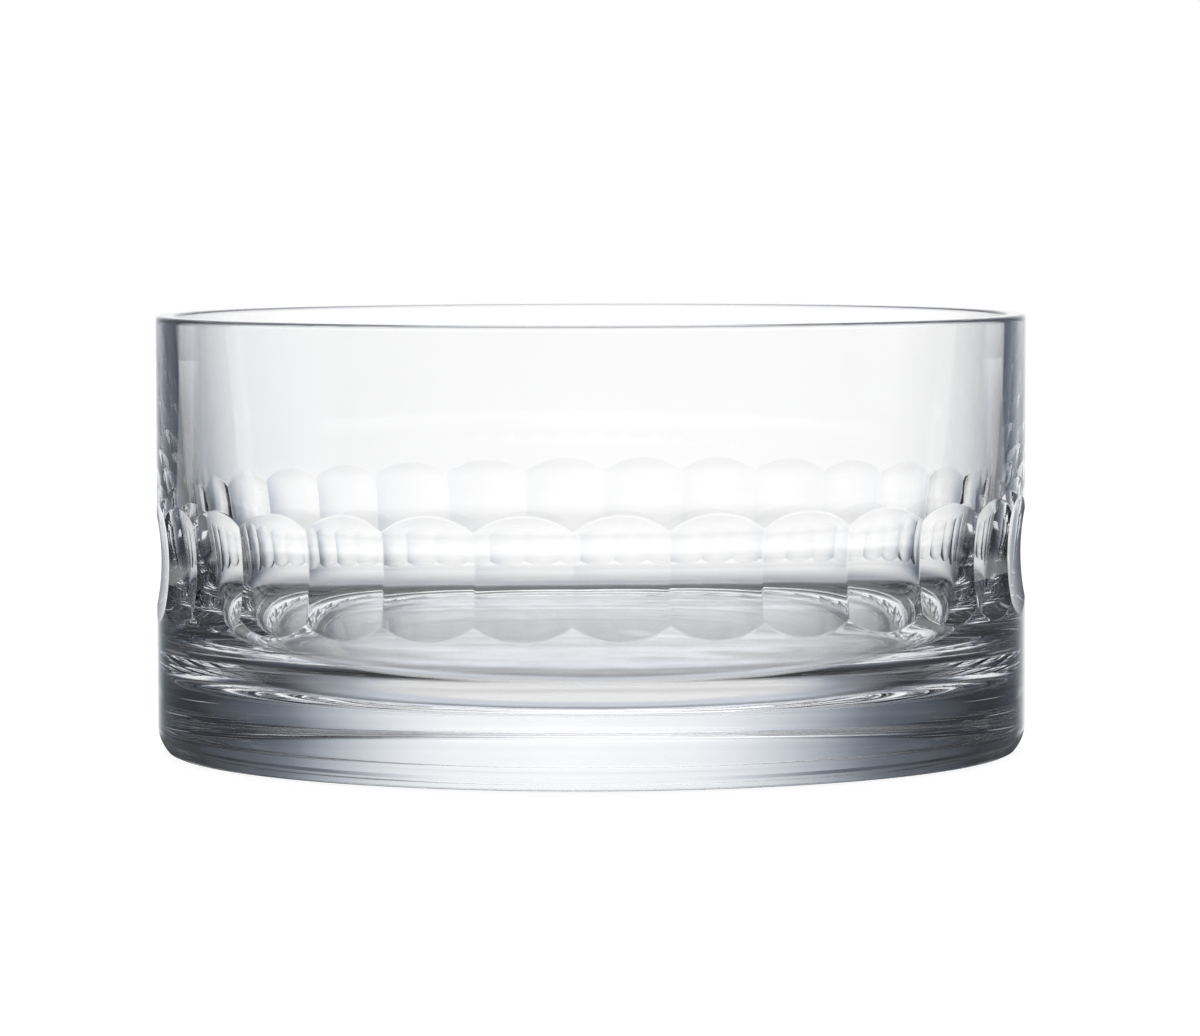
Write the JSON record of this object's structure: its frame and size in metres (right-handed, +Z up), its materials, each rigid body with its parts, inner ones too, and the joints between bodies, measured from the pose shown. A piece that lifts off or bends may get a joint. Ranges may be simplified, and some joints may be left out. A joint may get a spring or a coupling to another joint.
{
  "type": "ice bowl",
  "caption": "Heavy clear glass ice bowl: a straight round drum with a thick floor, a softly rounded foot and one band of upright hollow wheel cuts low on the wall.",
  "frame": {"origin": "middle of the flat face the bowl rests on", "axes": "+Z up along the axis of the drum; +X and +Y are level, and +X passes through the middle of one cut"},
  "size_m": [0.19, 0.19, 0.0951],
  "materials": {
    "bowl": "polished clear crystal glass"
  },
  "bodies": {
    "root": {"bowl": "bowl"}
  },
  "joints": []
}
